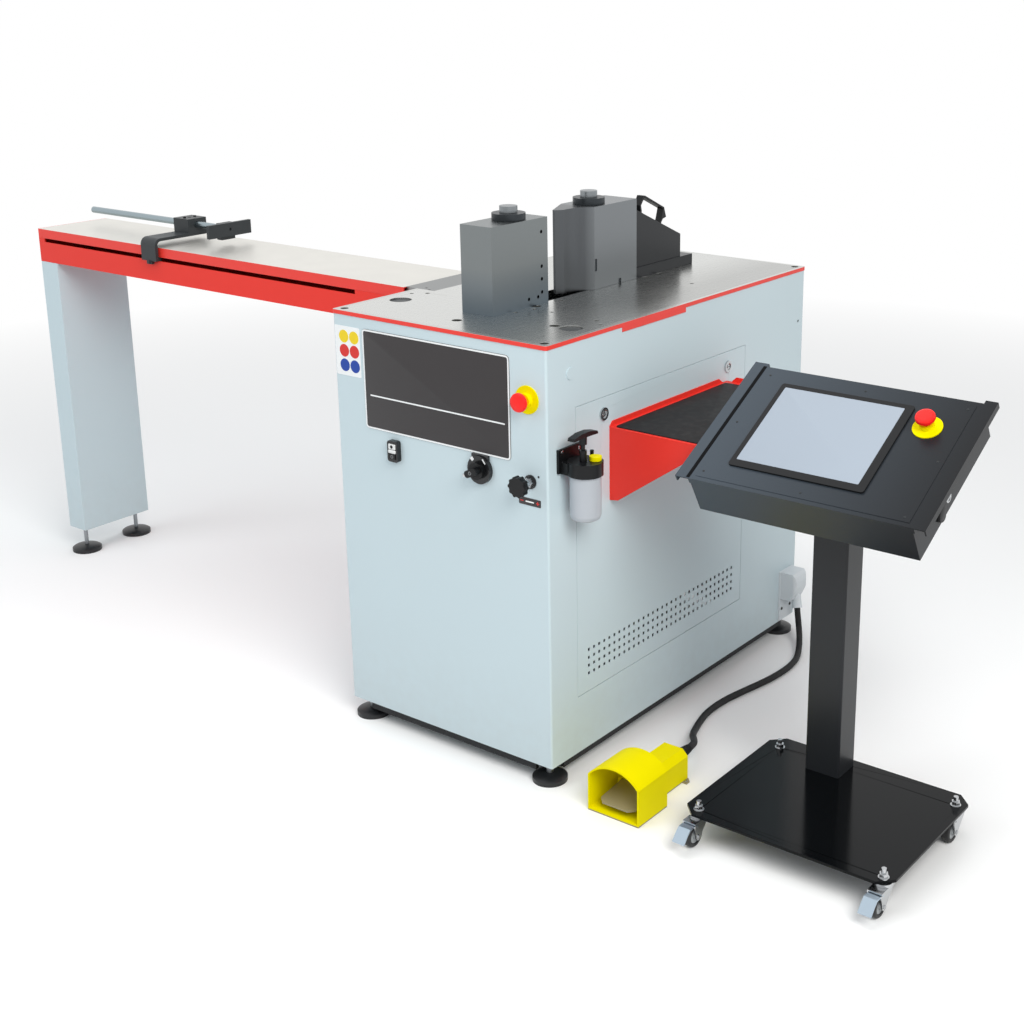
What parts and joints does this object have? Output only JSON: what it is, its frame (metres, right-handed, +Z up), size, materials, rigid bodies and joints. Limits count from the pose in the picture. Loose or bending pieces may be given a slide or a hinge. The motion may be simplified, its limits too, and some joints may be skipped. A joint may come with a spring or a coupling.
{
  "type": "horizontal press brake",
  "caption": "Floor-standing horizontal press brake with a bending ram on its table, outrigger beam with a length stop, console on casters and a guarded foot pedal.",
  "frame": {"origin": "centre of the footprint on the floor, between the beam's foot and the console's base", "axes": "+X right along the machine's front, +Y from the front to the back, +Z up"},
  "size_m": [2.8816, 1.1069, 1.208],
  "materials": {
    "cabinet_paint": "satin powder coat, pale blue grey",
    "red_paint": "satin powder coat, red",
    "frame_paint": "matt primer",
    "dark_paint": "fine textured powder coat, charcoal",
    "stop_paint": "blackened steel",
    "table_steel": "ground plate",
    "beam_steel": "ground plate, paler",
    "block_steel": "fine ground blocks",
    "bright_steel": "polished and plated",
    "zinc_steel": "blue zinc plate",
    "black_plastic": "moulded, matt",
    "yellow_plastic": "moulded, satin",
    "red_plastic": "moulded, satin",
    "white_plastic": "moulded, satin",
    "grey_plastic": "moulded, matt",
    "clear_plastic": "milky translucent",
    "screen_glass": "flush glass in a black bezel",
    "grey_casting": "bead blasted",
    "rubber": "matt"
  },
  "bodies": {
    "root": {"cabinet_shell": "cabinet_paint", "side_door": "cabinet_paint", "beam_leg": "cabinet_paint", "table_edge_band": "red_paint", "beam_channel": "red_paint", "tool_shelf": "red_paint", "base_frame": "frame_paint", "hydraulic_cylinder": "frame_paint", "power_pack": "frame_paint", "console_base": "dark_paint", "console_column": "dark_paint", "console_head": "dark_paint", "table_plate": "table_steel", "link_plate": "table_steel", "beam_top_plate": "beam_steel", "fixed_block": "block_steel", "caster_mounts": "bright_steel", "levelling_feet": "black_plastic", "control_housings": "black_plastic", "lube_pump_body": "black_plastic", "estop_collars": "yellow_plastic", "pedal_guard": "yellow_plastic", "connector_hood": "grey_plastic", "lube_reservoir": "clear_plastic", "touch_screen": "screen_glass", "pedal_base": "grey_casting", "pedal_cord": "rubber"},
    "ram": {"ram_block": "block_steel", "ram_carriage": "block_steel", "piston_rod": "bright_steel", "slot_cover": "dark_paint", "ram_cover": "dark_paint", "cover_handle": "black_plastic"},
    "fixed_pin": {"fixed_tool_pin": "block_steel"},
    "ram_pin": {"ram_tool_pin": "block_steel"},
    "stop_carriage": {"stop_bracket": "stop_paint", "stop_clamp_block": "stop_paint"},
    "stop_arm": {"stop_rod": "zinc_steel", "stop_plate": "stop_paint"},
    "front_estop": {"front_estop_button": "red_plastic"},
    "console_estop": {"console_estop_button": "red_plastic"},
    "start_key": {"start_button": "white_plastic"},
    "stop_key": {"stop_button": "black_plastic"},
    "switch_handle": {"main_switch_knob": "black_plastic"},
    "pressure_knob": {"star_knob": "black_plastic"},
    "plunger": {"pump_plunger": "black_plastic"},
    "oil_cap": {"filler_cap": "yellow_plastic"},
    "lock_front": {"door_lock_front": "bright_steel"},
    "lock_rear": {"door_lock_rear": "bright_steel"},
    "foot_plate": {"treadle": "grey_casting"},
    "brake_1": {"brake_flap_1": "zinc_steel"},
    "brake_2": {"brake_flap_2": "zinc_steel"},
    "swivel_1": {"caster_fork_1": "bright_steel"},
    "wheel_1": {"caster_wheel_1": "rubber"},
    "swivel_2": {"caster_fork_2": "bright_steel"},
    "wheel_2": {"caster_wheel_2": "rubber"},
    "swivel_3": {"caster_fork_3": "bright_steel"},
    "wheel_3": {"caster_wheel_3": "rubber"},
    "swivel_4": {"caster_fork_4": "bright_steel"},
    "wheel_4": {"caster_wheel_4": "rubber"}
  },
  "joints": [
    {"name": "ram_slide", "type": "slide", "parent": "root", "child": "ram", "axis": [0, 1, 0], "range_m": [-0.06, 0.12]},
    {"name": "fixed_pin_lift", "type": "slide", "parent": "root", "child": "fixed_pin", "axis": [0, 0, 1], "range_m": [0, 0.12]},
    {"name": "ram_pin_lift", "type": "slide", "parent": "ram", "child": "ram_pin", "axis": [0, 0, 1], "range_m": [0, 0.12]},
    {"name": "stop_carriage_slide", "type": "slide", "parent": "root", "child": "stop_carriage", "axis": [1, 0, 0], "range_m": [-0.45, 0.72]},
    {"name": "stop_rod_slide", "type": "slide", "parent": "stop_carriage", "child": "stop_arm", "axis": [1, 0, 0], "range_m": [-0.1, 0.3]},
    {"name": "front_estop_press", "type": "slide", "parent": "root", "child": "front_estop", "axis": [0, 1, 0], "range_m": [0, 0.005]},
    {"name": "console_estop_press", "type": "slide", "parent": "root", "child": "console_estop", "axis": [0, 0.4894, -0.8721], "range_m": [0, 0.005]},
    {"name": "start_key_press", "type": "slide", "parent": "root", "child": "start_key", "axis": [0, 1, 0], "range_m": [0, 0.002], "stiffness_N_per_m": 400, "springref_m": -0.002},
    {"name": "stop_key_press", "type": "slide", "parent": "root", "child": "stop_key", "axis": [0, 1, 0], "range_m": [0, 0.002], "stiffness_N_per_m": 400, "springref_m": -0.002},
    {"name": "switch_handle_turn", "type": "hinge", "parent": "root", "child": "switch_handle", "pos_m": [0.46075, -0.5085, 0.695], "axis": [0, 1, 0], "range_deg": [0, 90]},
    {"name": "pressure_knob_turn", "type": "hinge", "parent": "root", "child": "pressure_knob", "pos_m": [0.59375, -0.5085, 0.693], "axis": [0, 1, 0], "continuous": true},
    {"name": "plunger_pull", "type": "slide", "parent": "root", "child": "plunger", "axis": [0, 0, 1], "range_m": [0, 0.035], "stiffness_N_per_m": 100, "springref_m": -0.02},
    {"name": "oil_cap_turn", "type": "hinge", "parent": "root", "child": "oil_cap", "pos_m": [0.69875, -0.4115, 0.74], "axis": [0, 0, 1], "range_deg": [0, 360]},
    {"name": "lock_front_turn", "type": "hinge", "parent": "root", "child": "lock_front", "pos_m": [0.63875, -0.3035, 0.801], "axis": [1, 0, 0], "range_deg": [0, 90]},
    {"name": "lock_rear_turn", "type": "hinge", "parent": "root", "child": "lock_rear", "pos_m": [0.63875, 0.1885, 0.801], "axis": [1, 0, 0], "range_deg": [0, 90]},
    {"name": "treadle_press", "type": "hinge", "parent": "root", "child": "foot_plate", "pos_m": [0.81575, -0.4195, 0.03], "axis": [1, 0, 0], "range_deg": [0, 8], "stiffness_Nm_per_rad": 4, "springref_deg": -14.32},
    {"name": "caster_swivel_1", "type": "hinge", "parent": "root", "child": "swivel_1", "pos_m": [1.00475, -0.4775, 0.054], "axis": [0, 0, 1], "continuous": true},
    {"name": "caster_roll_1", "type": "hinge", "parent": "swivel_1", "child": "wheel_1", "pos_m": [1.00475, -0.5005, 0.025], "axis": [1, 0, 0], "continuous": true},
    {"name": "caster_swivel_2", "type": "hinge", "parent": "root", "child": "swivel_2", "pos_m": [1.41775, -0.4775, 0.054], "axis": [0, 0, 1], "continuous": true},
    {"name": "caster_roll_2", "type": "hinge", "parent": "swivel_2", "child": "wheel_2", "pos_m": [1.41775, -0.5005, 0.025], "axis": [1, 0, 0], "continuous": true},
    {"name": "caster_swivel_3", "type": "hinge", "parent": "root", "child": "swivel_3", "pos_m": [1.41975, -0.1585, 0.054], "axis": [0, 0, 1], "continuous": true},
    {"name": "caster_roll_3", "type": "hinge", "parent": "swivel_3", "child": "wheel_3", "pos_m": [1.41975, -0.1815, 0.025], "axis": [1, 0, 0], "continuous": true},
    {"name": "caster_swivel_4", "type": "hinge", "parent": "root", "child": "swivel_4", "pos_m": [1.00775, -0.1585, 0.054], "axis": [0, 0, 1], "continuous": true},
    {"name": "caster_roll_4", "type": "hinge", "parent": "swivel_4", "child": "wheel_4", "pos_m": [1.00775, -0.1815, 0.025], "axis": [1, 0, 0], "continuous": true},
    {"name": "brake_press_1", "type": "hinge", "parent": "swivel_1", "child": "brake_1", "pos_m": [1.00475, -0.5075, 0.052], "axis": [1, 0, 0], "range_deg": [0, 20]},
    {"name": "brake_press_2", "type": "hinge", "parent": "swivel_2", "child": "brake_2", "pos_m": [1.41775, -0.5075, 0.052], "axis": [1, 0, 0], "range_deg": [0, 20]}
  ]
}
